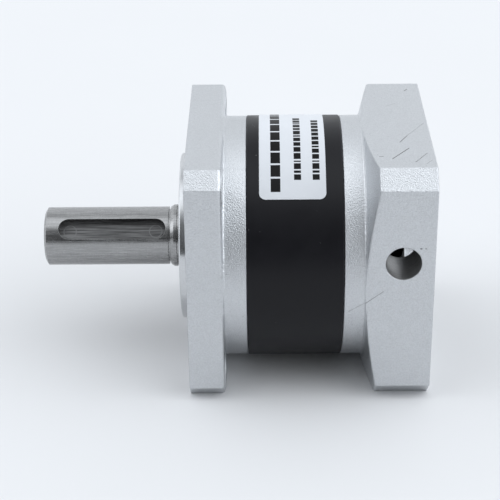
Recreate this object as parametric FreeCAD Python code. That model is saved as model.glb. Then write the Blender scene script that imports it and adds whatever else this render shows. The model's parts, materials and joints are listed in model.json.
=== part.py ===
"""A single-stage 10:1 planetary gearbox for a NEMA 23 motor, in millimetres.

The gearbox lies on the flat sides of its two square flanges, with its output shaft along -X.
The origin is on the gearbox axis, in the plane of the output flange's mounting face. +Z is up.
Angles in the YZ plane are in degrees from +Y towards +Z.
"""

import FreeCAD, Part

import math
import os
from collections import namedtuple

V = FreeCAD.Vector


class Bearing(namedtuple("Bearing", "bore outer front width ball count")):
    """A deep-groove ball bearing: its bore and outer radii, front face, width, ball diameter and balls."""

    @property
    def rear(self):
        return self.front + self.width

    @property
    def middle(self):
        return self.front + self.width / 2

    @property
    def ball_circle(self):
        return (self.bore + self.outer) / 2

    @property
    def inner_land(self):
        return self.bore + RING_LAND * (self.outer - self.bore)

    @property
    def outer_land(self):
        return self.outer - RING_LAND * (self.outer - self.bore)


# A retaining ring: where its groove starts and ends, the groove's bottom radius, the radius of the ring's
# free edge, and the gap between its eyes.
RetainingRing = namedtuple("RetainingRing", "front rear bottom edge gap")

# ---- the castings and the ring gear --------------------------------------------------------------
FLANGE_WIDTH = 58.0
HALF_WIDTH = FLANGE_WIDTH / 2
FRONT_CORNER = 3.5  # corner cut of the output flange, along each side
REAR_CORNER = 3.95  # corner cut of the input flange, along each side
FLANGE_BACK = 8.3
BACK_ROUND = 0.9
COVE = 0.45  # cast radius in the corner between a barrel and its flange
EDGE_BREAK = 0.2
BORE_LEAD = 0.4  # lead-in bevels of bores and spigots
BARREL_R = 28.8
RING_FRONT = 13.7
RING_REAR = 35.7
RING_R = 28.9
FLARE_START = 40.6
FLARE_SLOPE = 0.28  # axial rise for each millimetre of radius
FLARE_BEVEL_R = 38.0
FLARE_BEVEL = (0.55, 0.6)  # axial, radial
FLARE_ROUND = 0.5
REAR_FACE = 56.0
PILOT_R = 20.0
PILOT_HEIGHT = 2.05
PILOT_BEVEL = 0.3
OVERLAP = 1.0  # how far joined solids run into each other, and tools past what they cut

# ---- fastening -----------------------------------------------------------------------------------
MOUNT_CIRCLE = 47.14 / math.sqrt(2)  # corners of the NEMA 23 hole square
FRONT_MOUNT_HOLE_R = 2.75
PAD_R = 4.6  # machined pad round each hole, on the output flange's back
PAD_HEIGHT = 0.15
REAR_MOUNT_HOLE_R = 2.1  # tap drill of M5
REAR_MOUNT_DEPTH = 11.0
CLOSING_SCREW_CIRCLE = 25.75
CLOSING_SCREW_R = 2.0
CLOSING_THREAD_FRONT = 5.5
CLOSING_SCREW_LENGTH = 45.0
CLOSING_HEAD_R = 3.5
CLOSING_HEAD_HEIGHT = 4.0
CLOSING_KEY = 3.0
SCREW_BEVEL = 0.15  # share of the screw's radius
KEY_FLOOR = 0.45  # share of the head's height
CLOSING_HOLE_R = 2.15
CLOSING_SINK_R = 3.8
CLOSING_SINK_DEPTH = 4.5
CORNER_ANGLES = (45, 135, 225, 315)

# ---- spigots that centre the castings in the ring gear -------------------------------------------
SPIGOT_R = 22.48
COUNTERBORE_R = 22.5
FRONT_SPIGOT_END = 17.5
FRONT_TEETH = 17.6
REAR_TEETH = 32.2
REAR_SPIGOT_START = 32.4
REAR_SPIGOT_BORE_R = 20.2
O_RING_SECTION = 1.0
O_RING_GROOVE_WIDTH = 1.3
FRONT_O_RING_X = 15.6
REAR_O_RING_X = 34.2

# ---- gears ---------------------------------------------------------------------------------------
MODULE = 0.4
PRESSURE_ANGLE = math.radians(20)
SUN_TEETH, PLANET_TEETH, RING_TEETH = 12, 48, 108
SHIFT = 0.35  # the sun's profile shift; the planets and the ring have minus this
THINNING = 0.04  # taken off each tooth for backlash
ADDENDUM, DEDENDUM = 1.0, 1.25  # in modules
PLANET_CIRCLE = MODULE * (SUN_TEETH + PLANET_TEETH) / 2
PLANET_ANGLES = (90, 210, 330)
PLANET_FRONT, PLANET_REAR = 22.3, 30.3
SUN_FRONT, SUN_REAR = 22.1, 31.0
TOOTH_BEVEL = 0.25

# ---- bearings ------------------------------------------------------------------------------------
RING_LAND = 0.33  # share of the radial section that each race ring takes
FRONT_BEARING = Bearing(bore=7.5, outer=14.0, front=2.9, width=7.0, ball=3.5, count=10)
REAR_BEARING = Bearing(bore=10.0, outer=16.0, front=10.7, width=7.0, ball=3.5, count=13)
INPUT_BEARING = Bearing(bore=7.5, outer=12.0, front=35.6, width=5.0, ball=2.4, count=13)
BALL_PLAY = 0.02
RACE_BEVEL = 0.3
CAGE_THICKNESS = 0.32  # share of the ball's diameter
CAGE_RIM, CAGE_PLAY = 0.45, 0.05
SHIELD_THICKNESS = 0.3
SHIELD_INSET = 0.25
SHIELD_GAP = 0.12
SHIELD_GRIP = 0.35
WEB_R = 12.4  # between the two output bearings
INPUT_WEB_R = 10.8
INPUT_WEB = 1.0

# ---- retaining rings -----------------------------------------------------------------------------
BEARING_RING = RetainingRing(front=1.65, rear=2.85, bottom=14.6, edge=12.3, gap=5.0)
SHAFT_RING = RetainingRing(front=1.85, rear=2.9, bottom=7.1, edge=9.2, gap=2.6)
HUB_RING = RetainingRing(front=34.55, rear=35.6, bottom=7.1, edge=9.0, gap=2.6)
INPUT_RING = RetainingRing(front=40.6, rear=41.6, bottom=12.6, edge=11.0, gap=4.5)
RETAINING_PLAY = 0.03
EYE_R = 0.95
EYE_HOLE_R = 0.45

# ---- shaft seal ----------------------------------------------------------------------------------
SEAL_FRONT = -1.8
SEAL_CASE_FRONT, SEAL_CASE_REAR = -1.4, 1.6
SEAL_CASE_WALL = 0.5  # at the front; the rim that grips the bore is thicker
SEAL_CASE_RIM = 0.7
SEAL_CASE_R = 9.6
SEAL_SPRING_R, SEAL_SPRING_WIRE, SEAL_SPRING_X = 9.1, 0.7, 0.6
SEAL_GAP = 0.05  # between the lips and the shaft
SEAL_LIP_RISE = 0.5
SEAL_DUST_LIP_X, SEAL_NECK_X = -1.5, -0.3

# ---- output shaft and planet carrier -------------------------------------------------------------
SHAFT_R = 7.0
SHAFT_END = -35.0
SHAFT_STEP = -5.25
SEAL_LAND_R = 7.5
KEY_WIDTH = 5.0
KEY_DEPTH = 3.0
KEY_FROM, KEY_TO = -31.5, -5.9
KEY_ANGLE = 139.2
SHAFT_BEVEL = (0.55, 0.8)  # axial, radial
RELIEF_DEPTH, RELIEF_WIDTH = 0.6, 0.45
COLLAR_FRONT = -4.0
COLLAR_GROOVE = (-3.25, -2.2)
COLLAR_GROOVE_R = 7.1
CENTRE_CONE_R, CENTRE_CONE_DEPTH = 2.6, 2.0
CENTRE_DRILL_R, CENTRE_DRILL_DEPTH = 1.25, 5.0
SHOULDER_R = 9.0
NECK_R = 11.4
CARRIER_FRONT, CARRIER_FACE = 18.2, 21.7
CARRIER_R = 20.3
CARRIER_BEVEL = 0.4
CARRIER_RECESS_R = 3.5
PLATE_FRONT, PLATE_REAR = 30.9, 33.9
PLATE_R = 19.8
PLATE_BORE_R = 6.8
POST_CIRCLE = 16.2
POST_R = 2.5
CARRIER_SCREW_R, CARRIER_SCREW_HEAD_R, CARRIER_SCREW_LENGTH = 1.5, 2.8, 10.0
CARRIER_KEY, CARRIER_KEY_DEPTH = 2.0, 1.2
SEAT_PLAY = 0.05  # radial play of screws and retaining rings in their seats
PIN_R = 3.0
PIN_INSET, PIN_BEVEL = 0.1, 0.3
NEEDLE_R = 0.75
NEEDLES = 15
NEEDLE_PLAY = 0.015
NEEDLE_INSET, NEEDLE_BEVEL = 0.35, 0.12
WASHER_R = 5.5
WASHER_THICKNESS = 0.45

# ---- input hub and sun gear ----------------------------------------------------------------------
HUB_NOSE = 32.0
HUB_JOURNAL = 34.0
HUB_HEAD = 43.9
HUB_END = 50.4
HUB_HEAD_R = 15.0
HUB_NOSE_R = 6.4
HUB_COLLAR_R = 8.7
HUB_BEVEL = 0.5
MOTOR_BORE_R = 4.0
SUN_STEM_R = 4.7
SUN_STEM_FRONT, SUN_STEM_END = 31.5, 35.0
SUN_STEM_BEVEL = 0.3
CLAMP_OFFSET = 7.1  # clamp screw's distance from the axis
CLAMP_X = (HUB_HEAD + HUB_END) / 2
CLAMP_SEAT = -4.5  # where the clamp screw's head bears, along its own axis
CLAMP_SCREW_R, CLAMP_SCREW_LENGTH = 1.5, 14.0
CLAMP_HEAD_R, CLAMP_HEAD_HEIGHT = 2.75, 3.0
CLAMP_KEY = 2.5
CLAMP_HEAD_HOLE_R, CLAMP_THROUGH_R = 3.0, 1.65
CLAMP_SLIT = 1.2
CLAMP_TURN = 14.0  # how far the hub is turned from the access hole at rest
CAVITY_FRONT = 42.2
CAVITY_R = 18.5
MOTOR_PILOT_R = 19.05
MOTOR_PILOT_FRONT = 53.5
ACCESS_R = 4.0
ACCESS_X = 48.9
ACCESS_BEVEL = 0.15

# ---- label ---------------------------------------------------------------------------------------
LABEL_FROM, LABEL_TO = 16.6, 31.7
LABEL_ANGLES = (53.0, 137.3)
LABEL_THICKNESS = 0.1
LABEL_CORNER = 1.5

LONG = 200.0  # longer than the gearbox, for cuts that go right through


# ---- shape helpers -------------------------------------------------------------------------------
def turned(profile):
    """A solid of revolution about X from a closed profile of (x, radius) points."""
    points = [V(x, r, 0) for x, r in profile]
    face = Part.Face(Part.makePolygon(points + points[:1]))
    solid = Part.Solid(face.revolve(V(0, 0, 0), V(1, 0, 0), 360).Shells[0])
    if solid.Volume < 0:
        solid.reverse()
    return solid


def tube(r_in, r_out, x0, x1):
    return turned([(x0, r_in), (x1, r_in), (x1, r_out), (x0, r_out)])


def rod(r, x0, x1, y=0.0, z=0.0):
    return Part.makeCylinder(r, x1 - x0, V(x0, y, z), V(1, 0, 0))


def torus(radius, section, x):
    return Part.makeTorus(radius, section / 2, V(x, 0, 0), V(1, 0, 0))


def polar(radius, angle):
    a = math.radians(angle)
    return radius * math.cos(a), radius * math.sin(a)


def turn(shape, angle):
    """The shape turned about the gearbox axis."""
    copy = shape.copy()
    copy.rotate(V(0, 0, 0), V(1, 0, 0), angle)
    return copy


def prism(outline, x0, x1):
    """A prism along X from an outline of (y, z) points."""
    points = [V(x0, y, z) for y, z in outline]
    return Part.Face(Part.makePolygon(points + points[:1])).extrude(V(x1 - x0, 0, 0))


def hexagon(across_flats, y=0.0, z=0.0):
    corner = across_flats / math.sqrt(3)
    return [(y + polar(corner, 60 * k)[0], z + polar(corner, 60 * k)[1]) for k in range(6)]


def corner_cut_square(corner):
    h, c = HALF_WIDTH, HALF_WIDTH - corner
    return [(h, c), (c, h), (-c, h), (-h, c), (-h, -c), (-c, -h), (c, -h), (h, -c)]


def edges_at(shape, x):
    """The edges of a shape that lie in the plane at x."""
    box = [e.BoundBox for e in shape.Edges]
    return [e for e, b in zip(shape.Edges, box) if abs(b.XMin - x) < 1e-4 and abs(b.XMax - x) < 1e-4]


def cut_all(shape, tools):
    return shape.cut(Part.makeCompound(tools))


def group(solids):
    return solids[0] if len(solids) == 1 else Part.makeCompound(solids)


def cap_screw(r, length, head_r, head_height, key):
    """A socket cap screw along X: the seat at x = 0, the thread towards -X, the head towards +X."""
    bevel = SCREW_BEVEL * r
    body = turned([
        (-length, 0), (-length, r - bevel), (-length + bevel, r), (0, r), (0, head_r),
        (head_height - bevel, head_r), (head_height, head_r - bevel), (head_height, 0),
    ])
    return body.cut(prism(hexagon(key), head_height * KEY_FLOOR, head_height + OVERLAP))


# ---- gear teeth ----------------------------------------------------------------------------------
def involute(radius, base):
    """The involute function of the pressure angle at a radius."""
    t = math.sqrt(max((radius / base) ** 2 - 1, 0))
    return t - math.atan(t)


def tooth_outline(teeth, r_root, r_tip, thickness):
    """A closed wire in the plane x = 0 of involute teeth; thickness is the arc at the pitch circle."""
    pitch = MODULE * teeth / 2
    base = pitch * math.cos(PRESSURE_ANGLE)
    steps = 6

    def half_angle(r):
        return thickness / (2 * pitch) + involute(pitch, base) - involute(r, base)

    def point(r, angle):
        return V(0, r * math.cos(angle), r * math.sin(angle))

    def flank(centre, side):
        low = max(r_root, base)
        radii = [low + (r_tip - low) * (k / steps) ** 1.5 for k in range(steps + 1)]
        return [point(r, centre + side * half_angle(r)) for r in radii]

    edges = []
    step = 2 * math.pi / teeth
    for k in range(teeth):
        centre = k * step
        rise, fall = flank(centre, -1), flank(centre, 1)[::-1]
        foot = point(r_root, centre - half_angle(max(r_root, base)))
        far_foot = point(r_root, centre + half_angle(max(r_root, base)))
        next_foot = point(r_root, centre + step - half_angle(max(r_root, base)))
        if r_root < base:
            edges.append(Part.LineSegment(foot, rise[0]).toShape())
        edges.append(spline(rise))
        edges.append(Part.Arc(rise[-1], point(r_tip, centre), fall[0]).toShape())
        edges.append(spline(fall))
        if r_root < base:
            edges.append(Part.LineSegment(fall[-1], far_foot).toShape())
        edges.append(Part.Arc(far_foot, point(r_root, centre + step / 2), next_foot).toShape())
    return Part.Wire(edges)


def spline(points):
    curve = Part.BSplineCurve()
    curve.interpolate(points)
    return curve.toShape()


def pitch_thickness(shift):
    return MODULE * (math.pi / 2 + 2 * shift * math.tan(PRESSURE_ANGLE))


def external_gear(teeth, shift, x0, x1):
    r_tip = MODULE * (teeth / 2 + ADDENDUM + shift)
    r_root = MODULE * (teeth / 2 - DEDENDUM + shift)
    outline = tooth_outline(teeth, r_root, r_tip, pitch_thickness(shift) - THINNING)
    blank = Part.Face(outline).extrude(V(x1 - x0, 0, 0))
    blank.translate(V(x0, 0, 0))
    clear = r_tip + 0.001
    envelope = turned([
        (x0, 0), (x0, r_tip - TOOTH_BEVEL), (x0 + TOOTH_BEVEL, clear), (x1 - TOOTH_BEVEL, clear),
        (x1, r_tip - TOOTH_BEVEL), (x1, 0),
    ])
    return blank.common(envelope)


def sun_phase():
    """The angle of one sun tooth, in mesh with every planet."""
    return (PLANET_ANGLES[0] * (SUN_TEETH + RING_TEETH) - 180) / SUN_TEETH


def planet_phase(angle):
    """The angle of one tooth of the planet at this place, in mesh with the ring's space at angle 0."""
    return angle * (1 - RING_TEETH / PLANET_TEETH)


# ---- castings ------------------------------------------------------------------------------------
def corner_places(circle):
    """The four points at the corners, at this distance from the axis."""
    return [polar(circle, angle) for angle in CORNER_ANGLES]


def output_housing():
    flange = prism(corner_cut_square(FRONT_CORNER), 0, FLANGE_BACK)
    flange = flange.makeFillet(BACK_ROUND, edges_at(flange, FLANGE_BACK))
    flange = flange.makeChamfer(EDGE_BREAK / 2, edges_at(flange, 0))
    inner_r = BARREL_R - OVERLAP
    barrel = turned([
        (-PILOT_HEIGHT, 0), (-PILOT_HEIGHT, PILOT_R - PILOT_BEVEL), (PILOT_BEVEL - PILOT_HEIGHT, PILOT_R),
        (OVERLAP, PILOT_R), (OVERLAP, inner_r), (FLANGE_BACK - OVERLAP, inner_r),
        (FLANGE_BACK - OVERLAP, BARREL_R), (RING_FRONT - EDGE_BREAK, BARREL_R),
        (RING_FRONT, BARREL_R - EDGE_BREAK), (RING_FRONT, SPIGOT_R), (FRONT_SPIGOT_END - BORE_LEAD, SPIGOT_R),
        (FRONT_SPIGOT_END, SPIGOT_R - BORE_LEAD), (FRONT_SPIGOT_END, 0),
    ])
    mouth, seat_r = -PILOT_HEIGHT, FRONT_BEARING.outer
    bores = turned([
        (mouth - OVERLAP, 0), (mouth - OVERLAP, seat_r + BORE_LEAD + OVERLAP), (mouth + BORE_LEAD, seat_r),
        *groove(BEARING_RING, seat_r), (FRONT_BEARING.rear, seat_r), (FRONT_BEARING.rear, WEB_R),
        (REAR_BEARING.front, WEB_R), (REAR_BEARING.front, REAR_BEARING.outer),
        (FRONT_SPIGOT_END + OVERLAP, REAR_BEARING.outer), (FRONT_SPIGOT_END + OVERLAP, 0),
    ])
    pads = []
    cuts = [bores, o_ring_groove(FRONT_O_RING_X)]
    for y, z in corner_places(MOUNT_CIRCLE):
        pads.append(rod(PAD_R, FLANGE_BACK - OVERLAP, FLANGE_BACK + PAD_HEIGHT, y, z))
        cuts.append(rod(FRONT_MOUNT_HOLE_R, -OVERLAP, FLANGE_BACK + OVERLAP, y, z))
    for y, z in corner_places(CLOSING_SCREW_CIRCLE):
        cuts.append(rod(CLOSING_SCREW_R, CLOSING_THREAD_FRONT, RING_FRONT + OVERLAP, y, z))
    corner = cove(FLANGE_BACK, 1).common(prism(corner_cut_square(FRONT_CORNER), 0, RING_FRONT))
    return cut_all(flange.fuse([barrel, corner, *pads]).removeSplitter(), cuts)


def cove(face, side):
    """The cast radius between a barrel and the flange face at this x; side is where the barrel lies."""
    centre = face + side * COVE
    band = tube(BARREL_R - COVE, BARREL_R + COVE, *sorted((face - side * OVERLAP, centre)))
    return band.cut(torus(BARREL_R + COVE, 2 * COVE, centre))


def groove(ring, wall):
    """The outline of a retaining ring's groove in a wall of this radius."""
    return [(ring.front, wall), (ring.front, ring.bottom), (ring.rear, ring.bottom), (ring.rear, wall)]


def o_ring_groove(x):
    half = O_RING_GROOVE_WIDTH / 2
    return tube(COUNTERBORE_R - O_RING_SECTION, COUNTERBORE_R + OVERLAP, x - half, x + half)


def ring_gear():
    blank = turned([
        (RING_FRONT, 0), (RING_FRONT, RING_R - EDGE_BREAK), (RING_FRONT + EDGE_BREAK, RING_R),
        (RING_REAR - EDGE_BREAK, RING_R), (RING_REAR, RING_R - EDGE_BREAK), (RING_REAR, 0),
    ])
    r_root = MODULE * (RING_TEETH / 2 + DEDENDUM - SHIFT)
    r_tip = MODULE * (RING_TEETH / 2 - ADDENDUM - SHIFT)
    spaces = Part.Face(tooth_outline(RING_TEETH, r_tip, r_root, pitch_thickness(-SHIFT) + THINNING))
    teeth = spaces.extrude(V(RING_REAR - RING_FRONT + 2 * OVERLAP, 0, 0))
    teeth.translate(V(RING_FRONT - OVERLAP, 0, 0))
    cuts = [
        rod(COUNTERBORE_R, RING_FRONT - OVERLAP, FRONT_TEETH),
        rod(COUNTERBORE_R, REAR_TEETH, RING_REAR + OVERLAP),
    ]
    for y, z in corner_places(CLOSING_SCREW_CIRCLE):
        cuts.append(rod(CLOSING_HOLE_R, RING_FRONT - OVERLAP, RING_REAR + OVERLAP, y, z))
    return cut_all(blank.cut(teeth), cuts)


def input_block():
    """The square flange with its flared front, whose edges with the square's sides are rounded."""
    bevel_x, bevel_r = FLARE_BEVEL
    cone_start = FLARE_START - FLARE_SLOPE * (BARREL_R - SPIGOT_R)
    bevel_start = FLARE_START + FLARE_SLOPE * (FLARE_BEVEL_R - BARREL_R)
    outer_r = HALF_WIDTH * math.sqrt(2)
    square = prism(corner_cut_square(REAR_CORNER), RING_REAR, REAR_FACE)
    square = square.makeChamfer(EDGE_BREAK, edges_at(square, REAR_FACE))
    cone = turned([
        (cone_start, 0), (cone_start, SPIGOT_R), (bevel_start, FLARE_BEVEL_R),
        (bevel_start + bevel_x, FLARE_BEVEL_R + bevel_r), (bevel_start + bevel_x + OVERLAP, outer_r),
        (REAR_FACE, outer_r), (REAR_FACE, 0),
    ])
    block = square.common(cone)
    return block.makeFillet(FLARE_ROUND, [e for e in block.Edges if isinstance(e.Curve, Part.Hyperbola)])


def access_hole():
    """The tool for the round hole in the side that lets a key reach the clamp screw."""
    outside, bevelled = HALF_WIDTH + OVERLAP, HALF_WIDTH - ACCESS_BEVEL
    hole = turned([
        (-outside, 0), (-outside, ACCESS_R + ACCESS_BEVEL + OVERLAP), (-bevelled, ACCESS_R), (0, ACCESS_R),
        (0, 0),
    ])
    hole.rotate(V(0, 0, 0), V(0, 0, 1), 90)
    hole.translate(V(ACCESS_X, 0, CLAMP_OFFSET))
    return hole


def input_housing():
    barrel = turned([
        (REAR_SPIGOT_START, 0), (REAR_SPIGOT_START, SPIGOT_R - BORE_LEAD),
        (REAR_SPIGOT_START + BORE_LEAD, SPIGOT_R), (RING_REAR, SPIGOT_R), (RING_REAR, BARREL_R - EDGE_BREAK),
        (RING_REAR + EDGE_BREAK, BARREL_R), (FLARE_START + OVERLAP, BARREL_R), (FLARE_START + OVERLAP, 0),
    ])
    corner = cove(FLARE_START, -1).common(prism(corner_cut_square(REAR_CORNER), RING_REAR, REAR_FACE))
    seat_r = INPUT_BEARING.outer
    web_front = INPUT_BEARING.front - INPUT_WEB
    bores = turned([
        (REAR_SPIGOT_START - OVERLAP, 0), (REAR_SPIGOT_START - OVERLAP, REAR_SPIGOT_BORE_R),
        (web_front, REAR_SPIGOT_BORE_R), (web_front, INPUT_WEB_R), (INPUT_BEARING.front, INPUT_WEB_R),
        (INPUT_BEARING.front, seat_r), *groove(INPUT_RING, seat_r), (CAVITY_FRONT, seat_r),
        (CAVITY_FRONT, CAVITY_R), (MOTOR_PILOT_FRONT, CAVITY_R), (MOTOR_PILOT_FRONT, MOTOR_PILOT_R),
        (REAR_FACE + OVERLAP, MOTOR_PILOT_R), (REAR_FACE + OVERLAP, 0),
    ])
    cuts = [bores, access_hole(), o_ring_groove(REAR_O_RING_X)]
    for y, z in corner_places(MOUNT_CIRCLE):
        cuts.append(rod(REAR_MOUNT_HOLE_R, REAR_FACE - REAR_MOUNT_DEPTH, REAR_FACE + OVERLAP, y, z))
    for y, z in corner_places(CLOSING_SCREW_CIRCLE):
        cuts.append(rod(CLOSING_HOLE_R, RING_REAR - OVERLAP, REAR_FACE, y, z))
        cuts.append(rod(CLOSING_SINK_R, REAR_FACE - CLOSING_SINK_DEPTH, REAR_FACE + OVERLAP, y, z))
    return cut_all(input_block().fuse([barrel, corner]).removeSplitter(), cuts)


def housing_screws():
    screws = []
    for y, z in corner_places(CLOSING_SCREW_CIRCLE):
        screw = cap_screw(
            CLOSING_SCREW_R, CLOSING_SCREW_LENGTH, CLOSING_HEAD_R, CLOSING_HEAD_HEIGHT, CLOSING_KEY)
        screw.translate(V(REAR_FACE - CLOSING_SINK_DEPTH, y, z))
        screws.append(screw)
    return group(screws)


def o_ring(x):
    return torus(COUNTERBORE_R - O_RING_SECTION / 2, O_RING_SECTION, x)


def label():
    start, end = LABEL_ANGLES
    y, z = polar(1, start)
    r_out = RING_R + LABEL_THICKNESS
    corners = [V(x, r * y, r * z) for x, r in
               ((LABEL_FROM, RING_R), (LABEL_TO, RING_R), (LABEL_TO, r_out), (LABEL_FROM, r_out))]
    sheet = Part.Face(Part.makePolygon(corners + corners[:1])).revolve(V(0, 0, 0), V(1, 0, 0), end - start)
    radial = [e for e in sheet.Edges if abs(e.Length - LABEL_THICKNESS) < 1e-3]
    return sheet.makeFillet(LABEL_CORNER, radial)


# ---- shaft seal ----------------------------------------------------------------------------------
def seal_case():
    r, front, inner = FRONT_BEARING.outer, SEAL_CASE_FRONT, SEAL_CASE_FRONT + SEAL_CASE_WALL
    return turned([
        (front, SEAL_CASE_R), (front, r), (SEAL_CASE_REAR, r), (SEAL_CASE_REAR, r - SEAL_CASE_RIM),
        (inner, r - SEAL_CASE_RIM), (inner, SEAL_CASE_R),
    ])


def seal_spring():
    return torus(SEAL_SPRING_R, SEAL_SPRING_WIRE, SEAL_SPRING_X)


def seal_lip():
    """The rubber face with its dust lip in front and its sealing lip under the spring."""
    touch = SEAL_LAND_R + SEAL_GAP
    free = touch + SEAL_LIP_RISE
    dust, neck, lip_end = SEAL_DUST_LIP_X, SEAL_NECK_X, SEAL_SPRING_X + SEAL_LIP_RISE
    body = turned([
        (SEAL_FRONT, FRONT_BEARING.outer), (SEAL_FRONT, free), (dust, touch), (dust + SEAL_LIP_RISE, free),
        (neck, free), (SEAL_SPRING_X, touch), (lip_end, free), (lip_end, SEAL_SPRING_R),
        (neck, SEAL_SPRING_R), (neck, SEAL_CASE_R),
        (SEAL_CASE_FRONT, SEAL_CASE_R), (SEAL_CASE_FRONT, FRONT_BEARING.outer),
    ])
    return body.cut(seal_spring())


# ---- retaining rings -----------------------------------------------------------------------------
def shaft_snap_ring(ring):
    """A ring in a shaft's groove, with its eyes outwards."""
    return snap_ring(ring, ring.bottom, ring.edge, ring.edge + EYE_R / 3, ring.bottom)


def housing_snap_ring(ring):
    """A ring in a housing's groove, with its eyes inwards."""
    return snap_ring(ring, ring.edge, ring.bottom - SEAT_PLAY, ring.edge, ring.edge - EYE_R)


def snap_ring(ring, r_in, r_out, eye_circle, r_clear):
    x0, x1 = ring.front + RETAINING_PLAY, ring.rear - RETAINING_PLAY
    half = math.degrees((ring.gap / 2 + EYE_R) / eye_circle)
    places = [polar(eye_circle, side * half) for side in (-1, 1)]
    eyes = [rod(EYE_R, x0, x1, y, z) for y, z in places]
    holes = [rod(EYE_HOLE_R, x0 - OVERLAP, x1 + OVERLAP, y, z) for y, z in places]
    gap = Part.makeBox(x1 - x0 + 2 * OVERLAP, LONG, ring.gap, V(x0 - OVERLAP, 0, -ring.gap / 2))
    keep_out = rod(r_clear, x0 - OVERLAP, x1 + OVERLAP)
    return cut_all(tube(r_in, r_out, x0, x1).fuse(eyes), [gap, keep_out, *holes])


# ---- ball bearings -------------------------------------------------------------------------------
def inner_ring(bearing):
    front, rear, bore, bevel = bearing.front, bearing.rear, bearing.bore, RACE_BEVEL
    ring = turned([
        (front + bevel, bore), (rear - bevel, bore), (rear, bore + bevel), (rear, bearing.inner_land),
        (front, bearing.inner_land), (front, bore + bevel),
    ])
    return ring.cut(raceway(bearing))


def outer_ring(bearing):
    front, rear, outer, bevel = bearing.front, bearing.rear, bearing.outer, RACE_BEVEL
    ring = turned([
        (front, bearing.outer_land), (rear, bearing.outer_land), (rear, outer - bevel), (rear - bevel, outer),
        (front + bevel, outer), (front, outer - bevel),
    ])
    seats = [tube(bearing.bore, bearing.outer_land + SHIELD_GRIP, *span) for span in shield_spans(bearing)]
    return cut_all(ring, [raceway(bearing), *seats])


def raceway(bearing):
    return torus(bearing.ball_circle, bearing.ball + 2 * BALL_PLAY, bearing.middle)


def shield_spans(bearing):
    """Where the two shields start and end along the axis."""
    front, rear = bearing.front + SHIELD_INSET, bearing.rear - SHIELD_INSET
    return (front, front + SHIELD_THICKNESS), (rear - SHIELD_THICKNESS, rear)


def shields(bearing):
    r_in, r_out = bearing.inner_land + SHIELD_GAP, bearing.outer_land + SHIELD_GRIP
    return group([tube(r_in, r_out, *span) for span in shield_spans(bearing)])


def balls(bearing):
    angles = [360 * k / bearing.count for k in range(bearing.count)]
    return group([Part.makeSphere(bearing.ball / 2, V(bearing.middle, *polar(bearing.ball_circle, angle)))
                  for angle in angles])


def ball_cage(bearing):
    """A ring with a pocket for each ball."""
    thick = CAGE_THICKNESS * bearing.ball / 2
    half = bearing.ball / 2 + CAGE_RIM
    circle = bearing.ball_circle
    band = tube(circle - thick, circle + thick, bearing.middle - half, bearing.middle + half)
    pocket = Part.makeCylinder(
        bearing.ball / 2 + CAGE_PLAY, circle + bearing.ball, V(bearing.middle, 0, 0), V(0, 1, 0))
    return cut_all(band, [turn(pocket, 360 * k / bearing.count) for k in range(bearing.count)])


# ---- output shaft, planet carrier and planets ----------------------------------------------------
def key_slot():
    """The closed keyway as a tool, cut from the side that KEY_ANGLE points to."""
    half, floor = KEY_WIDTH / 2, SHAFT_R - KEY_DEPTH
    height = KEY_DEPTH + OVERLAP
    slot = Part.makeBox(KEY_TO - KEY_FROM - KEY_WIDTH, KEY_WIDTH, height, V(KEY_FROM + half, -half, floor))
    ends = [Part.makeCylinder(half, height, V(x, 0, floor)) for x in (KEY_FROM + half, KEY_TO - half)]
    return turn(slot.fuse(ends).removeSplitter(), KEY_ANGLE - 90)


def centre_hole():
    """The drilled and countersunk centre in the shaft's end."""
    drill_end = SHAFT_END + CENTRE_DRILL_DEPTH
    widening = (CENTRE_CONE_R - CENTRE_DRILL_R) / CENTRE_CONE_DEPTH
    return turned([
        (SHAFT_END - OVERLAP, 0), (SHAFT_END - OVERLAP, CENTRE_CONE_R + widening * OVERLAP),
        (SHAFT_END + CENTRE_CONE_DEPTH, CENTRE_DRILL_R), (drill_end, CENTRE_DRILL_R),
        (drill_end + CENTRE_DRILL_R / 2, 0),
    ])


def post_places():
    return [polar(POST_CIRCLE, angle + 60) for angle in PLANET_ANGLES]


def planet_places():
    return [polar(PLANET_CIRCLE, angle) for angle in PLANET_ANGLES]


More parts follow.
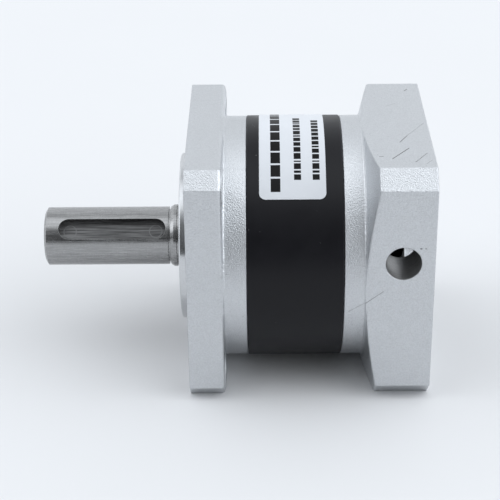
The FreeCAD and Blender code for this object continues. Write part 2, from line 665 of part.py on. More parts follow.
def output_shaft():
    """The output shaft with the planet carrier's front disc and posts, in one piece."""
    bevel_x, bevel_r = SHAFT_BEVEL
    relief_r, relief_end = SHAFT_R - RELIEF_DEPTH, SHAFT_STEP + RELIEF_WIDTH
    groove_front, groove_rear = COLLAR_GROOVE
    body = turned([
        (SHAFT_END, 0), (SHAFT_END, SHAFT_R - bevel_r), (SHAFT_END + bevel_x, SHAFT_R),
        (SHAFT_STEP, SHAFT_R), (SHAFT_STEP, relief_r), (relief_end, relief_r), (relief_end, SHAFT_R),
        (COLLAR_FRONT, SEAL_LAND_R), (groove_front, SEAL_LAND_R), (groove_front, COLLAR_GROOVE_R),
        (groove_rear, COLLAR_GROOVE_R), (groove_rear, SEAL_LAND_R), *groove(SHAFT_RING, SEAL_LAND_R),
        (FRONT_BEARING.rear, SEAL_LAND_R), (FRONT_BEARING.rear, SHOULDER_R), (REAR_BEARING.front, SHOULDER_R),
        (REAR_BEARING.front, REAR_BEARING.bore), (REAR_BEARING.rear, REAR_BEARING.bore),
        (REAR_BEARING.rear, NECK_R), (CARRIER_FRONT, NECK_R), (CARRIER_FRONT, CARRIER_R - CARRIER_BEVEL),
        (CARRIER_FRONT + CARRIER_BEVEL, CARRIER_R), (CARRIER_FACE, CARRIER_R),
        (CARRIER_FACE, CARRIER_RECESS_R), (CARRIER_FACE - OVERLAP, CARRIER_RECESS_R),
        (CARRIER_FACE - OVERLAP, 0),
    ])
    posts = [rod(POST_R, CARRIER_FACE - OVERLAP, PLATE_FRONT, y, z) for y, z in post_places()]
    cuts = [key_slot(), centre_hole()]
    for y, z in planet_places():
        cuts.append(rod(PIN_R, CARRIER_FRONT - OVERLAP, CARRIER_FACE + OVERLAP, y, z))
    thread_end = PLATE_REAR - CARRIER_SCREW_LENGTH - CARRIER_SCREW_R / 3
    for y, z in post_places():
        cuts.append(rod(CARRIER_SCREW_R, thread_end, PLATE_FRONT + OVERLAP, y, z))
    return cut_all(body.fuse(posts).removeSplitter(), cuts)


def countersink(play):
    """A countersunk screw's outline from the middle of its head, flush with the plate, to its neck."""
    rim, r = CARRIER_SCREW_HEAD_R, CARRIER_SCREW_R
    return [(PLATE_REAR, 0), (PLATE_REAR, rim + play), (PLATE_REAR - (rim - r), r + play)]


def carrier_plate():
    plate = turned([
        (PLATE_FRONT, PLATE_BORE_R), (PLATE_FRONT, PLATE_R), (PLATE_REAR - CARRIER_BEVEL, PLATE_R),
        (PLATE_REAR, PLATE_R - CARRIER_BEVEL), (PLATE_REAR, PLATE_BORE_R),
    ])
    cuts = [rod(PIN_R, PLATE_FRONT - OVERLAP, PLATE_REAR + OVERLAP, y, z) for y, z in planet_places()]
    for y, z in post_places():
        through = [(PLATE_FRONT - OVERLAP, CARRIER_SCREW_R + SEAT_PLAY), (PLATE_FRONT - OVERLAP, 0)]
        sink = turned(countersink(SEAT_PLAY) + through)
        sink.translate(V(0, y, z))
        cuts.append(sink)
    return cut_all(plate, cuts)


def carrier_screws():
    tip, r = PLATE_REAR - CARRIER_SCREW_LENGTH, CARRIER_SCREW_R
    bevel = r / 5
    screws = []
    for y, z in post_places():
        screw = turned(countersink(0) + [(tip + bevel, r), (tip, r - bevel), (tip, 0)])
        screw = screw.cut(prism(hexagon(CARRIER_KEY), PLATE_REAR - CARRIER_KEY_DEPTH, PLATE_REAR + OVERLAP))
        screw.translate(V(0, y, z))
        screws.append(screw)
    return group(screws)


def planet_pins():
    x0, x1, bevel = CARRIER_FRONT + PIN_INSET, PLATE_REAR - PIN_INSET, PIN_BEVEL
    pins = []
    for y, z in planet_places():
        pin = turned([
            (x0, 0), (x0, PIN_R - bevel), (x0 + bevel, PIN_R), (x1 - bevel, PIN_R), (x1, PIN_R - bevel),
            (x1, 0),
        ])
        pin.translate(V(0, y, z))
        pins.append(pin)
    return group(pins)


def planet_washers():
    washers = []
    for y, z in planet_places():
        for x in (CARRIER_FACE, PLATE_FRONT - WASHER_THICKNESS):
            washer = tube(PIN_R, WASHER_R, x, x + WASHER_THICKNESS)
            washer.translate(V(0, y, z))
            washers.append(washer)
    return group(washers)


def planet_gear(angle):
    bore = PIN_R + 2 * NEEDLE_R + 2 * NEEDLE_PLAY
    mouth = bore + PIN_BEVEL + OVERLAP
    gear = external_gear(PLANET_TEETH, -SHIFT, PLANET_FRONT, PLANET_REAR)
    hole = turned([
        (PLANET_FRONT - OVERLAP, 0), (PLANET_FRONT - OVERLAP, mouth), (PLANET_FRONT + PIN_BEVEL, bore),
        (PLANET_REAR - PIN_BEVEL, bore), (PLANET_REAR + OVERLAP, mouth), (PLANET_REAR + OVERLAP, 0),
    ])
    gear = turn(gear.cut(hole), planet_phase(angle))
    gear.translate(V(0, *polar(PLANET_CIRCLE, angle)))
    return gear


def planet_needles(angle):
    circle = PIN_R + NEEDLE_R + NEEDLE_PLAY
    cy, cz = polar(PLANET_CIRCLE, angle)
    x0, x1, bevel = PLANET_FRONT + NEEDLE_INSET, PLANET_REAR - NEEDLE_INSET, NEEDLE_BEVEL
    needles = []
    for k in range(NEEDLES):
        y, z = polar(circle, angle + 360 * k / NEEDLES)
        needle = turned([(x0, 0), (x0, NEEDLE_R - bevel), (x0 + bevel, NEEDLE_R), (x1 - bevel, NEEDLE_R),
                         (x1, NEEDLE_R - bevel), (x1, 0)])
        needle.translate(V(0, cy + y, cz + z))
        needles.append(needle)
    return group(needles)


# ---- input hub and sun gear ----------------------------------------------------------------------
def sun_gear():
    gear = turn(external_gear(SUN_TEETH, SHIFT, SUN_FRONT, SUN_REAR), sun_phase())
    neck = MODULE * (SUN_TEETH / 2 - DEDENDUM + SHIFT)
    stem = turned([
        (SUN_REAR - OVERLAP, 0), (SUN_REAR - OVERLAP, neck), (SUN_STEM_FRONT, neck),
        (SUN_STEM_FRONT, SUN_STEM_R - SUN_STEM_BEVEL), (SUN_STEM_FRONT + SUN_STEM_BEVEL, SUN_STEM_R),
        (SUN_STEM_END, SUN_STEM_R), (SUN_STEM_END, 0),
    ])
    return gear.fuse(stem)


def input_hub():
    """The hollow input shaft, which clamps the motor shaft at its rear end."""
    journal, bevel = INPUT_BEARING.bore, HUB_BEVEL
    body = turned([
        (HUB_NOSE, SUN_STEM_R), (HUB_NOSE, HUB_NOSE_R - BORE_LEAD), (HUB_NOSE + BORE_LEAD, HUB_NOSE_R),
        (HUB_JOURNAL, HUB_NOSE_R), (HUB_JOURNAL, journal), *groove(HUB_RING, journal),
        (INPUT_BEARING.rear, journal), (INPUT_BEARING.rear, HUB_COLLAR_R), (HUB_HEAD, HUB_COLLAR_R),
        (HUB_HEAD, HUB_HEAD_R - bevel), (HUB_HEAD + bevel, HUB_HEAD_R), (HUB_END - bevel, HUB_HEAD_R),
        (HUB_END, HUB_HEAD_R - bevel), (HUB_END, MOTOR_BORE_R + BORE_LEAD),
        (HUB_END - BORE_LEAD, MOTOR_BORE_R), (SUN_STEM_END, MOTOR_BORE_R), (SUN_STEM_END, SUN_STEM_R),
    ])
    slit_front = INPUT_BEARING.rear + OVERLAP
    slit = Part.makeBox(HUB_END - slit_front + OVERLAP, CLAMP_SLIT, LONG, V(slit_front, -CLAMP_SLIT / 2, 0))
    steps = (
        (CLAMP_HEAD_HOLE_R, -HUB_HEAD_R, CLAMP_SEAT),
        (CLAMP_THROUGH_R, CLAMP_SEAT, 0),
        (CLAMP_SCREW_R, 0, HUB_HEAD_R),
    )
    cuts = [slit]
    for r, y0, y1 in steps:
        cuts.append(Part.makeCylinder(r, y1 - y0, V(CLAMP_X, y0, CLAMP_OFFSET), V(0, 1, 0)))
    return turn(cut_all(body, cuts), CLAMP_TURN)


def clamp_screw():
    screw = cap_screw(CLAMP_SCREW_R, CLAMP_SCREW_LENGTH, CLAMP_HEAD_R, CLAMP_HEAD_HEIGHT, CLAMP_KEY)
    screw.rotate(V(0, 0, 0), V(0, 0, 1), -90)
    screw.translate(V(CLAMP_X, CLAMP_SEAT, CLAMP_OFFSET))
    return turn(screw, CLAMP_TURN)


# ---- the whole assembly --------------------------------------------------------------------------
def assembly():
    nodes = {
        "output_housing": output_housing(),
        "ring_gear": ring_gear(),
        "input_housing": input_housing(),
        "housing_screws": housing_screws(),
        "front_o_ring": o_ring(FRONT_O_RING_X),
        "rear_o_ring": o_ring(REAR_O_RING_X),
        "label": label(),
        "shaft_seal_case": seal_case(),
        "shaft_seal_lip": seal_lip(),
        "shaft_seal_spring": seal_spring(),
        "bearing_retaining_ring": housing_snap_ring(BEARING_RING),
        "input_retaining_ring": housing_snap_ring(INPUT_RING),
        "shaft_retaining_ring": shaft_snap_ring(SHAFT_RING),
        "hub_retaining_ring": shaft_snap_ring(HUB_RING),
        "output_shaft": output_shaft(),
        "carrier_plate": carrier_plate(),
        "carrier_screws": carrier_screws(),
        "planet_pins": planet_pins(),
        "planet_washers": planet_washers(),
        "sun_gear": sun_gear(),
        "input_hub": input_hub(),
        "clamp_screw": clamp_screw(),
    }
    for name, bearing in (("front", FRONT_BEARING), ("rear", REAR_BEARING), ("input", INPUT_BEARING)):
        nodes[name + "_bearing_outer_ring"] = outer_ring(bearing)
        nodes[name + "_bearing_inner_ring"] = inner_ring(bearing)
        nodes[name + "_bearing_shields"] = shields(bearing)
        nodes[name + "_bearing_balls"] = balls(bearing)
        nodes[name + "_bearing_cage"] = ball_cage(bearing)
    for number, angle in enumerate(PLANET_ANGLES, 1):
        nodes[f"planet_gear_{number}"] = planet_gear(angle)
        nodes[f"planet_needles_{number}"] = planet_needles(angle)
    return nodes


def main():
    os.makedirs("parts", exist_ok=True)
    for name, shape in assembly().items():
        if not shape.isValid() or not shape.Solids:
            raise ValueError(f"{name} is not a valid solid")
        group(shape.Solids).exportStep(f"parts/{name}.step")
        print(f"{name}: {len(shape.Solids)} solids, {shape.Volume:.1f} mm3")


main()
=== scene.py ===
"""The planetary gearbox on a pale table, under a soft ceiling light. Lengths are in metres unless said."""

import json
import math

import bpy
from mathutils import Matrix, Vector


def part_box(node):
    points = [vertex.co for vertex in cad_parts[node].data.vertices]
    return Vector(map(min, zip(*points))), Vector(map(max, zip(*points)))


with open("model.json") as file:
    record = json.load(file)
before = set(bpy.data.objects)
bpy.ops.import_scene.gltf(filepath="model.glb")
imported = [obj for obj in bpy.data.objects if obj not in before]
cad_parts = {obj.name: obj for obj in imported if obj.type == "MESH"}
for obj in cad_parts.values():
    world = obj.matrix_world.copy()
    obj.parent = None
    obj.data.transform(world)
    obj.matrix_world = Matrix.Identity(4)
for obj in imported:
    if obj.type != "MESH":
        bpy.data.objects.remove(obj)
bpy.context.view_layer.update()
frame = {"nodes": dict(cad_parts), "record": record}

MM = 0.001

# ---- places taken from the frame --------------------------------------------------------------------
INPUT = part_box("input_housing")
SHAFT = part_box("output_shaft")
FLOOR_Z = INPUT[0].z
TOP_Z = INPUT[1].z
SIDE_Y = INPUT[0].y
REAR_X = INPUT[1].x
FRONT_X = 0.0  # outer face of the output flange

# ---- masks: how far they reach past the surfaces that they mark, and half the width of their edges ----
SLACK = 0.05 * MM
SOFT = 0.02 * MM

# ---- output shaft -----------------------------------------------------------------------------------
SHAFT_R = 7 * MM
PILOT_R = 20 * MM
KEY_ANGLE = math.radians(40.8)  # above the horizontal, on the -Y side
KEY_FLOOR_R = 4 * MM
KEY_ENDS = (SHAFT[0].x + 6 * MM, -8.4 * MM)  # centres of the keyway's round ends
KEY_HALF_WIDTH = 2.5 * MM
PLUNGE_R = 1.5 * MM  # rings that the end mill leaves at the keyway's ends
PLUNGE_HALF_WIDTH = 0.25 * MM

# ---- access hole in the input housing's -Y side -------------------------------------------------------
ACCESS = (48.9 * MM, 7.1 * MM)  # x and z of its axis
ACCESS_R = 4 * MM
ACCESS_INNER_Y = -15 * MM

# ---- marks on the input housing: start and end points, half width and, from 0 to 1, strength; in mm ---
TOP_SCRATCHES = (  # points are (x, y)
    ((46.3, -20.3), (50.4, -14.6), 0.14, 1.0),
    ((51.3, -22.1), (54.3, -17.3), 0.11, 0.8),
    ((53.7, -23.0), (55.0, -21.1), 0.09, 0.5),
    ((48.7, -11.1), (50.6, -7.4), 0.16, 0.7),
    ((50.6, -7.4), (55.2, 0.0), 0.08, 0.5),
    ((52.3, 20.3), (53.0, 21.3), 0.19, 0.8),
    ((47.0, 10.4), (49.4, 12.1), 0.09, 0.4),
    ((43.5, -19.0), (44.3, -18.9), 0.19, 0.7),
)
SIDE_SCRATCHES = (  # points are (x, z)
    ((36.7, -5.5), (40.7, -2.8), 0.07, 0.35),
    ((40.7, -2.8), (44.5, 0.1), 0.08, 0.7),
    ((52.5, 10.9), (52.7, 10.9), 0.22, 0.8),
    ((53.6, 10.9), (53.8, 10.9), 0.19, 0.6),
)
SCRATCH_TOP_DEPTH = 0.6  # the marks fade out this far under the top face, in mm
SCRATCH_SIDE_DEPTH = 1.0  # the same under the side face
SCRATCH_FADE = 0.3

# ---- light and camera ---------------------------------------------------------------------------------
# A direction's height, in degrees from the front horizon over the top to the back one, and the light that
# comes from there: from the left, from the middle and from the right.
SKY_ROWS = (
    (0, 0.05, 0.06, 1.1),
    (22, 0.3, 0.12, 1.9),
    (44, 0.7, 0.18, 2.7),
    (56, 1.5, 0.5, 3.2),
    (66, 2.3, 1.1, 3.4),
    (80, 2.7, 1.4, 3.2),
    (98, 2.3, 1.2, 2.4),
    (114, 1.4, 0.65, 1.3),
    (140, 1.15, 1.05, 1.25),
    (165, 1.2, 0.95, 1.35),
)
SKY_BLUE = 0.06
BACKDROP = (0.86, 0.90, 0.95, 1)
TABLE_SIZE = 6.0
EYE = (0.017627, -0.329042, 0.167881)
EYE_DOWN = 27.61  # degrees below the horizontal
EYE_LEFT = 0.599  # degrees from +Y towards -X
EYE_ROLL = -0.676  # degrees round the line of sight
LENS = 109.49  # mm, for a sensor 36 mm wide
SENSOR = 36.0


# ---- node trees -----------------------------------------------------------------------------------------
class Graph:
    """A material or world node tree, built by calls that return output sockets."""

    def __init__(self, owner):
        owner.use_nodes = True
        self.tree = owner.node_tree
        self.tree.nodes.clear()

    def add(self, kind, inputs=(), **settings):
        node = self.tree.nodes.new(kind)
        for key, value in settings.items():
            setattr(node, key, value)
        for key, value in dict(inputs).items():
            self.put(node.inputs[key], value)
        return node

    def put(self, socket, value):
        """Links a socket into another one, or sets a plain value on it."""
        if isinstance(value, bpy.types.NodeSocket):
            self.tree.links.new(value, socket)
        else:
            socket.default_value = value

    def math(self, operation, *values):
        node = self.add("ShaderNodeMath", operation=operation)
        for socket, value in zip(node.inputs, values):
            self.put(socket, value)
        return node.outputs[0]

    def product(self, *values):
        result = values[0]
        for value in values[1:]:
            result = self.math("MULTIPLY", result, value)
        return result

    def length(self, u, v):
        """The distance of the point (u, v) from the origin."""
        return self.math("SQRT", self.math("ADD", self.product(u, u), self.product(v, v)))

    def along(self, u, v, direction_u, direction_v):
        """How far the point (u, v) lies along a direction."""
        return self.math("ADD", self.product(u, direction_u), self.product(v, direction_v))

    def stretch(self, vector, factors):
        """The vector with each coordinate multiplied by its own factor."""
        node = self.add("ShaderNodeVectorMath", {0: vector, 1: factors}, operation="MULTIPLY")
        return node.outputs["Vector"]

    def split(self, vector):
        return tuple(self.add("ShaderNodeSeparateXYZ", {"Vector": vector}).outputs)

    def join(self, x, y, z):
        return self.add("ShaderNodeCombineXYZ", {"X": x, "Y": y, "Z": z}).outputs[0]

    def remap(self, value, low, high, to_low=0.0, to_high=1.0, smooth=True):
        ends = {"From Min": low, "From Max": high, "To Min": to_low, "To Max": to_high}
        blend = "SMOOTHSTEP" if smooth else "LINEAR"
        node = self.add("ShaderNodeMapRange", {"Value": value, **ends}, interpolation_type=blend)
        return node.outputs["Result"]

    def above(self, value, edge, soft=SOFT):
        """1 above an edge and 0 below it."""
        return self.remap(value, edge - soft, edge + soft)

    def below(self, value, edge, soft=SOFT):
        """1 below an edge and 0 above it."""
        return self.remap(value, edge + soft, edge - soft)

    def mix(self, factor, a, b):
        """A mix of two colours."""
        node = self.add("ShaderNodeMix", data_type="RGBA")
        for name, value in (("Factor_Float", factor), ("A_Color", a), ("B_Color", b)):
            self.put(next(s for s in node.inputs if s.identifier == name), value)
        return next(s for s in node.outputs if s.identifier == "Result_Color")

    def ramp(self, factor, stops):
        """A colour ramp through (position, colour) stops."""
        node = self.add("ShaderNodeValToRGB", {"Fac": factor})
        elements = node.color_ramp.elements
        while len(elements) < len(stops):
            elements.new(0.5)
        for element, (position, colour) in zip(elements, stops):
            element.position = position
            element.color = colour
        return node.outputs["Color"]

    def noise(self, vector, scale, detail=2.0, roughness=0.5):
        inputs = {"Vector": vector, "Scale": scale, "Detail": detail, "Roughness": roughness}
        return self.add("ShaderNodeTexNoise", inputs).outputs["Fac"]

    def place(self):
        """The point in the CAD frame, in metres, which moves with the piece."""
        return self.add("ShaderNodeTexCoord").outputs["Object"]

    def bump(self, height, strength, distance, normal=None):
        inputs = {"Height": height, "Strength": strength, "Distance": distance}
        if normal is not None:
            inputs["Normal"] = normal
        return self.add("ShaderNodeBump", inputs).outputs["Normal"]

    def rounded(self, radius):
        """The normal with the mesh's edges softened."""
        return self.add("ShaderNodeBevel", {"Radius": radius}, samples=4).outputs["Normal"]

    def segment(self, u, v, start, end, half_width):
        """1 on a thin straight mark between two points of the (u, v) plane, and 0 away from it."""
        length = math.dist(start, end)
        du, dv = (end[0] - start[0]) / length, (end[1] - start[1]) / length
        point_u = self.math("SUBTRACT", u, start[0])
        point_v = self.math("SUBTRACT", v, start[1])
        along = self.along(point_u, point_v, du, dv)
        across = self.along(point_u, point_v, -dv, du)
        past = self.math("SUBTRACT", along, self.math("MINIMUM", self.math("MAXIMUM", along, 0.0), length))
        return self.remap(self.length(past, across), half_width, 0.4 * half_width)

    def surface(self, inputs):
        shader = self.add("ShaderNodeBsdfPrincipled", inputs)
        self.add("ShaderNodeOutputMaterial", {"Surface": shader.outputs[0]})


def new_material(name):
    material = bpy.data.materials.new(name)
    return material, Graph(material)


def grey(value, blue=0.0):
    """A grey; blue gives it a cold cast."""
    return (value * (1 - blue), value * (1 - 0.4 * blue), value * (1 + 0.3 * blue), 1.0)


# ---- masks and patterns on the parts --------------------------------------------------------------------
def radius_of(g, place):
    """The distance from the gearbox's axis."""
    y, z = g.split(place)[1:]
    return g.length(y, z)


def scratch_mask(g, place):
    """The hairline marks on the input housing's top and on its -Y side."""
    x, y, z = (g.math("MULTIPLY", part, 1 / MM) for part in g.split(place))
    on_top = g.above(z, TOP_Z / MM - SCRATCH_TOP_DEPTH, SCRATCH_FADE)
    on_side = g.below(y, SIDE_Y / MM + SCRATCH_SIDE_DEPTH, SCRATCH_FADE)
    total = 0.0
    for marks, across, face in ((TOP_SCRATCHES, y, on_top), (SIDE_SCRATCHES, z, on_side)):
        for start, end, half_width, strength in marks:
            mark = g.product(g.segment(x, across, start, end, half_width), face, strength)
            total = g.math("MAXIMUM", total, mark)
    return total


def bore_mask(g, place):
    """1 on the wall of the access hole."""
    x, y, z = g.split(place)
    radius = g.length(g.math("SUBTRACT", x, ACCESS[0]), g.math("SUBTRACT", z, ACCESS[1]))
    return g.product(g.below(radius, ACCESS_R + SLACK), g.below(y, ACCESS_INNER_Y))


def turned_mask(g, x, radius):
    """1 on the pilot and on the outer faces of both flanges."""
    pilot = g.product(g.below(radius, PILOT_R + SLACK), g.below(x, FRONT_X - SLACK))
    faces = g.math("MAXIMUM", g.below(x, FRONT_X + SOFT), g.above(x, REAR_X - SOFT))
    return g.math("MAXIMUM", pilot, faces)


def keyway_mask(g, x, up, radius):
    """1 on the floor and the walls of the keyway: where its painted shade, its rougher finish and its mill
    marks go.
    """
    first, last = KEY_ENDS
    reach = KEY_HALF_WIDTH + SLACK
    inside = g.product(g.above(up, KEY_FLOOR_R - SLACK), g.below(radius, SHAFT_R - SLACK))
    return g.product(inside, g.above(x, first - reach), g.below(x, last + reach))


def mill_marks(g, x, across):
    """Rings where the end mill plunged at the keyway's ends, and lengthwise marks between them."""
    rings = 0.0
    for end in KEY_ENDS:
        distance = g.length(g.math("SUBTRACT", x, end), across)
        ring = g.remap(g.math("ABSOLUTE", g.math("SUBTRACT", distance, PLUNGE_R)), PLUNGE_HALF_WIDTH, 0.0)
        rings = g.math("MAXIMUM", rings, ring)
    drawn_out = g.join(g.math("MULTIPLY", x, 90.0), g.math("MULTIPLY", across, 2600.0), 0.0)
    lines = g.noise(drawn_out, scale=1, detail=3, roughness=0.6)
    return g.math("MAXIMUM", g.math("MULTIPLY", rings, 0.8), g.remap(lines, 0.3, 0.75, smooth=False))


# ---- materials ------------------------------------------------------------------------------------------
def cast_aluminium():
    """Blasted die-cast aluminium, with turned faces, a drilled access hole and a few hairline scratches."""
    material, g = new_material("cast_aluminium")
    place = g.place()
    x = g.split(place)[0]
    radius = radius_of(g, place)
    grain = g.noise(place, scale=3400, detail=2, roughness=0.6)
    cloud = g.noise(place, scale=70, detail=2)
    pits = g.remap(g.noise(place, scale=1300, detail=0), 0.14, 0.10)
    scratches = scratch_mask(g, place)
    turned = turned_mask(g, x, radius)
    rings = g.noise(g.join(x, radius, 0.0), scale=5000, detail=2, roughness=0.7)
    drilled = bore_mask(g, place)
    drill_lines = g.noise(g.stretch(place, (300.0, 4200.0, 300.0)), scale=1, detail=2)

    colour = g.mix(grain, grey(0.52, 0.045), grey(0.77, 0.045))
    colour = g.mix(g.math("MULTIPLY", cloud, 0.25), colour, grey(0.58, 0.03))
    colour = g.mix(turned, colour, g.mix(rings, grey(0.56, 0.03), grey(0.70, 0.03)))
    colour = g.mix(drilled, colour, g.mix(drill_lines, grey(0.24), grey(0.60)))
    colour = g.mix(g.math("MULTIPLY", pits, 0.4), colour, grey(0.2))
    colour = g.mix(scratches, colour, grey(0.03))

    blasted_roughness = g.remap(grain, 0.25, 0.75, 0.36, 0.28, smooth=False)
    smoother = g.math("MULTIPLY", g.math("SUBTRACT", turned, drilled), 0.14)
    roughness = g.math("SUBTRACT", blasted_roughness, smoother)

    blasted = g.math("SUBTRACT", 1.0, g.math("MAXIMUM", turned, drilled))
    height = g.product(grain, blasted)
    height = g.math("ADD", height, g.product(rings, turned, 0.1))
    height = g.math("ADD", height, g.product(drill_lines, drilled, 0.3))
    height = g.math("SUBTRACT", height, scratches)
    normal = g.bump(height, strength=1.0, distance=0.15 * MM, normal=g.rounded(0.18 * MM))
    g.surface({"Base Color": colour, "Metallic": 1.0, "Roughness": roughness, "Normal": normal})
    return material


def black_ring():
    """Black finish with faint turning lines and a few bright specks."""
    material, g = new_material("black_ring")
    place = g.place()
    lines = g.noise(g.stretch(place, (9000.0, 240.0, 240.0)), scale=1, detail=2)
    grain = g.noise(place, scale=5000, detail=2)
    cloud = g.noise(place, scale=160, detail=3, roughness=0.6)
    specks = g.remap(g.noise(place, scale=2600, detail=0), 0.90, 0.93)
    colour = g.mix(cloud, (0.0014, 0.0014, 0.003, 1), (0.0036, 0.0036, 0.006, 1))
    colour = g.mix(specks, colour, grey(0.3))
    roughness = g.remap(cloud, 0.3, 0.7, 0.34, 0.42, smooth=False)
    height = g.math("ADD", g.math("MULTIPLY", lines, 0.5), g.math("MULTIPLY", grain, 0.5))
    normal = g.bump(height, strength=0.5, distance=0.03 * MM, normal=g.rounded(0.12 * MM))
    g.surface({"Base Color": colour, "Metallic": 0.0, "Roughness": roughness, "Normal": normal,
               "Specular IOR Level": 0.26})
    return material


def shaft_steel():
    """Ground steel with lengthwise and round-going marks, and a milled keyway whose floor and walls are
    painted nearly black as painted shade.
    """
    material, g = new_material("shaft_steel")
    place = g.place()
    x, y, z = g.split(place)
    radius = radius_of(g, place)
    up = g.along(y, z, -math.cos(KEY_ANGLE), math.sin(KEY_ANGLE))
    across = g.along(y, z, math.sin(KEY_ANGLE), math.cos(KEY_ANGLE))
    key = keyway_mask(g, x, up, radius)
    marks = mill_marks(g, x, across)
    turning = g.noise(g.stretch(place, (14000.0, 300.0, 300.0)), scale=1, detail=2)
    drawn_out = g.stretch(place, (160.0, 2600.0, 2600.0))
    streaks = g.remap(g.noise(drawn_out, scale=1, detail=4, roughness=0.7), 0.3, 0.7, smooth=False)

    colour = g.mix(streaks, grey(0.27), grey(0.46))
    colour = g.mix(g.math("MULTIPLY", g.remap(turning, 0.35, 0.65), 0.4), colour, grey(0.26))
    # painted shade: the keyway's floor and walls are painted nearly black, as the recess lies in shade; the
    # mill marks on them stay lighter
    colour = g.mix(key, colour, g.mix(marks, grey(0.04), grey(0.32)))
    ground_roughness = g.remap(streaks, 0.3, 0.7, 0.20, 0.28, smooth=False)
    roughness = g.math("ADD", ground_roughness, g.math("MULTIPLY", key, 0.16))
    height = g.math("ADD", g.math("MULTIPLY", turning, 0.5), g.product(marks, key))
    normal = g.bump(height, strength=0.18, distance=0.015 * MM, normal=g.rounded(0.1 * MM))
    g.surface({"Base Color": colour, "Metallic": 1.0, "Roughness": roughness, "Normal": normal})
    return material


def word(start, *lengths, gap=0.7):
    """Spans of a line of bars, in degrees round the ring, from the lengths of the bars."""
    spans = []
    for length in lengths:
        spans.append((start, start + length))
        start += length + gap
    return spans


SMALL_HEADING = word(52.0, 2.9, 1.3, 3.2, 0.8)  # the short group at the start of both small lines
# centre along X and bar height, in mm, and the bars' spans in degrees above the horizontal
LABEL_LINES = (
    (20.3, 2.2, word(46.2, 6.6, 6.2, 6.4, 6.4, 6.4, 6.4, 6.0, 6.6, 6.2, 6.4, gap=0.9)),
    (25.3, 1.6, SMALL_HEADING + word(63.2, 3.6, 3.1, 2.6, 2.6, 1.2, 3.1, 1.9, 2.6, 1.2, 2.9, 3.1)),
    (29.5, 1.6, SMALL_HEADING + word(63.2, 2.9, 2.7, 1.2, 2.6, 2.6, 2.6, 2.6, 2.6, 2.6, 2.6)),
)


def span_mask(g, value, start, end, soft):
    """1 between two values and 0 outside them."""
    middle, half = (start + end) / 2, (end - start) / 2
    return g.remap(g.math("ABSOLUTE", g.math("SUBTRACT", value, middle)), half + soft, half - soft)


def label_sheet():
    """A satin white label whose lines of print are plain bars."""
    material, g = new_material("label")
    place = g.place()
    x, y, z = g.split(place)
    across = g.math("MULTIPLY", x, 1 / MM)
    angle = g.math("MULTIPLY", g.math("ARCTAN2", z, g.math("MULTIPLY", y, -1.0)), 180 / math.pi)
    ink = 0.0
    for centre, height, spans in LABEL_LINES:
        line = span_mask(g, across, centre - height / 2, centre + height / 2, soft=0.04)
        for start, end in spans:
            bar = span_mask(g, angle, start, end, soft=0.1)
            ink = g.math("MAXIMUM", ink, g.product(line, bar))
    cloud = g.noise(place, scale=300, detail=2)
    paper = g.mix(cloud, (0.63, 0.65, 0.68, 1), (0.67, 0.69, 0.72, 1))
    colour = g.mix(ink, paper, grey(0.006))
    roughness = g.remap(ink, 0, 1, 0.38, 0.3, smooth=False)
    normal = g.bump(g.noise(place, scale=900, detail=2), strength=0.04, distance=0.05 * MM)
    g.surface({"Base Color": colour, "Roughness": roughness, "Normal": normal, "Specular IOR Level": 0.12})
    return material


def metal(name, value, rough, scale=3000, spread=0.15, metallic=1.0, stretch=(1.0, 1.0, 1.0)):
    """A plain metal or plastic with a fine grain; stretch draws the grain out."""
    material, g = new_material(name)
    grain = g.noise(g.stretch(g.place(), stretch), scale, detail=3, roughness=0.6)
    colour = g.mix(grain, grey(value * (1 - spread)), grey(value * (1 + spread)))
    roughness = g.remap(grain, 0.25, 0.75, rough * 0.85, rough * 1.15, smooth=False)
    normal = g.bump(grain, strength=0.15, distance=0.02 * MM)
    g.surface({"Base Color": colour, "Metallic": metallic, "Roughness": roughness, "Normal": normal})
    return material


def cage_polymer():
    """Pale brown moulded polymer, a little translucent."""
    material, g = new_material("cage_polymer")
    grain = g.noise(g.place(), scale=2500, detail=2)
    colour = g.mix(grain, (0.55, 0.45, 0.26, 1), (0.66, 0.56, 0.36, 1))
    roughness = g.remap(grain, 0.3, 0.7, 0.4, 0.5, smooth=False)
    g.surface({"Base Color": colour, "Roughness": roughness, "Subsurface Weight": 0.1,
               "Subsurface Scale": 1 * MM})
    return material


def dress_nodes():
    """Gives every CAD node the material of its slot."""
    looks = {
        "cast_aluminium": cast_aluminium(),
        "black_ring": black_ring(),
        "shaft_steel": shaft_steel(),
        "label": label_sheet(),
        "gear_steel": metal("gear_steel", 0.45, 0.3, stretch=(4.0, 0.4, 0.4)),
        "hub_steel": metal("hub_steel", 0.035, 0.42, stretch=(3.0, 0.5, 0.5)),
        "bearing_steel": metal("bearing_steel", 0.62, 0.14, spread=0.05),
        "spring_steel": metal("spring_steel", 0.30, 0.34, spread=0.1),
        "black_steel": metal("black_steel", 0.03, 0.4, metallic=0.6),
        "cage_polymer": cage_polymer(),
        "rubber": metal("rubber", 0.018, 0.62, scale=2000, metallic=0.0),
    }
    for part in frame["record"]["subparts"]:
        materials = frame["nodes"][part["node"]].data.materials
        materials.clear()
        materials.append(looks[part["material_slot"]])


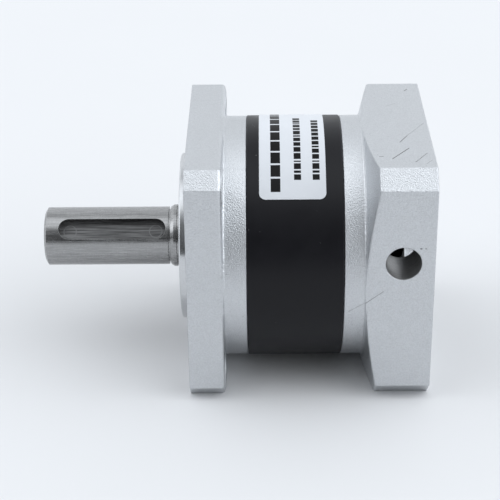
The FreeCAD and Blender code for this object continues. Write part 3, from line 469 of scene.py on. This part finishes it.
# ---- the table, the light and the camera -----------------------------------------------------------------
def table():
    bpy.ops.mesh.primitive_plane_add(size=TABLE_SIZE, location=(0, 0, FLOOR_Z))
    floor = bpy.context.object
    floor.name = "table"
    material, g = new_material("table")
    cloud = g.noise(g.place(), scale=9, detail=3)
    colour = g.mix(cloud, (0.710, 0.713, 0.720, 1), (0.730, 0.733, 0.740, 1))
    roughness = g.remap(cloud, 0.3, 0.7, 0.75, 0.85)
    g.surface({"Base Color": colour, "Roughness": roughness, "Specular IOR Level": 0.2})
    floor.data.materials.append(material)


def sky_ramp(g, turn, side):
    """The light of one column of SKY_ROWS, by the turn from the front horizon: 0 there and 1 at the back."""
    return g.ramp(turn, [(row[0] / 180, grey(row[side], SKY_BLUE)) for row in SKY_ROWS])


def surroundings():
    """A soft ceiling light, brightest to the right, above a dim wall on the -Y side.

    The camera sees a plain backdrop in its place.
    """
    world = bpy.data.worlds.new("surroundings")
    bpy.context.scene.world = world
    g = Graph(world)
    x, y, z = g.split(g.add("ShaderNodeTexCoord").outputs["Generated"])
    turn = g.math("DIVIDE", g.math("ARCTAN2", z, g.math("MULTIPLY", y, -1.0)), math.pi)
    left, middle, right = (sky_ramp(g, turn, side) for side in (1, 2, 3))
    sky = g.mix(g.math("MAXIMUM", g.math("MULTIPLY", x, -1.0), 0.0), middle, left)
    sky = g.mix(g.math("MAXIMUM", x, 0.0), sky, right)
    light = g.add("ShaderNodeBackground", {"Color": sky, "Strength": 1.0})
    backdrop = g.add("ShaderNodeBackground", {"Color": BACKDROP, "Strength": 1.0})
    seen = g.add("ShaderNodeLightPath").outputs["Is Camera Ray"]
    blend = g.add("ShaderNodeMixShader", {0: seen, 1: light.outputs[0], 2: backdrop.outputs[0]})
    g.add("ShaderNodeOutputWorld", {"Surface": blend.outputs[0]})


def camera():
    data = bpy.data.cameras.new("camera")
    data.sensor_width = SENSOR
    data.lens = LENS
    data.clip_start = 0.01
    eye = bpy.data.objects.new("camera", data)
    left = Matrix.Rotation(math.radians(EYE_LEFT), 4, "Z")
    down = Matrix.Rotation(math.pi / 2 - math.radians(EYE_DOWN), 4, "X")
    roll = Matrix.Rotation(math.radians(EYE_ROLL), 4, "Z")
    eye.matrix_world = Matrix.Translation(EYE) @ left @ down @ roll
    bpy.context.scene.collection.objects.link(eye)
    bpy.context.scene.camera = eye


dress_nodes()
table()
surroundings()
camera()
bpy.context.scene.view_settings.view_transform = "Standard"
